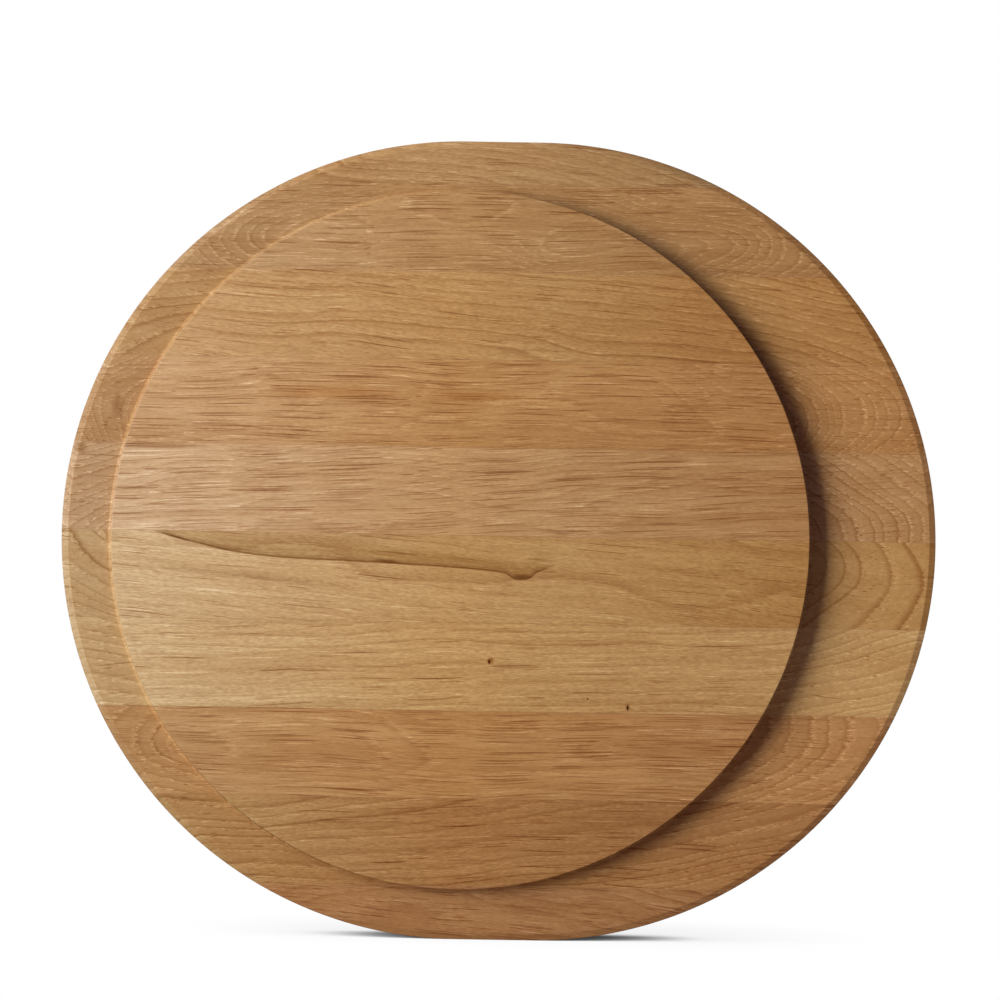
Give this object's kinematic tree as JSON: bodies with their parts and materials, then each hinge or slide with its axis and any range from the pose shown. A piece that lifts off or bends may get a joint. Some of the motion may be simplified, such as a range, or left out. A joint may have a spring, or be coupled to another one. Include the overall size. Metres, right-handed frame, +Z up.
{
  "type": "cutting board",
  "caption": "Oval oak cutting board of edge-glued staves, with a round raised cutting disc set to one side and a sloping juice moat around it.",
  "frame": {"origin": "middle of the lower edge that the board stands on", "axes": "+X along the grain, to the right seen from the front; +Y through the thickness, from the milled front to the flat back; +Z up"},
  "size_m": [0.3834, 0.025, 0.35],
  "materials": {
    "oak_pale": "oiled oak, pale yellow",
    "oak_honey": "oiled oak, honey",
    "oak_russet": "oiled oak, reddish",
    "oak_brown": "oiled oak, brown",
    "glue": "set wood glue, sanded flush"
  },
  "bodies": {
    "root": {"stave_01": "oak_brown", "glue_line_01": "glue", "stave_02": "oak_brown", "glue_line_02": "glue", "stave_03": "oak_russet", "glue_line_03": "glue", "stave_04": "oak_pale", "glue_line_04": "glue", "stave_05": "oak_pale", "glue_line_05": "glue", "stave_06": "oak_pale", "glue_line_06": "glue", "stave_07": "oak_russet", "glue_line_07": "glue", "stave_08": "oak_honey", "glue_line_08": "glue", "stave_09": "oak_honey", "glue_line_09": "glue", "stave_10": "oak_honey"}
  },
  "joints": []
}
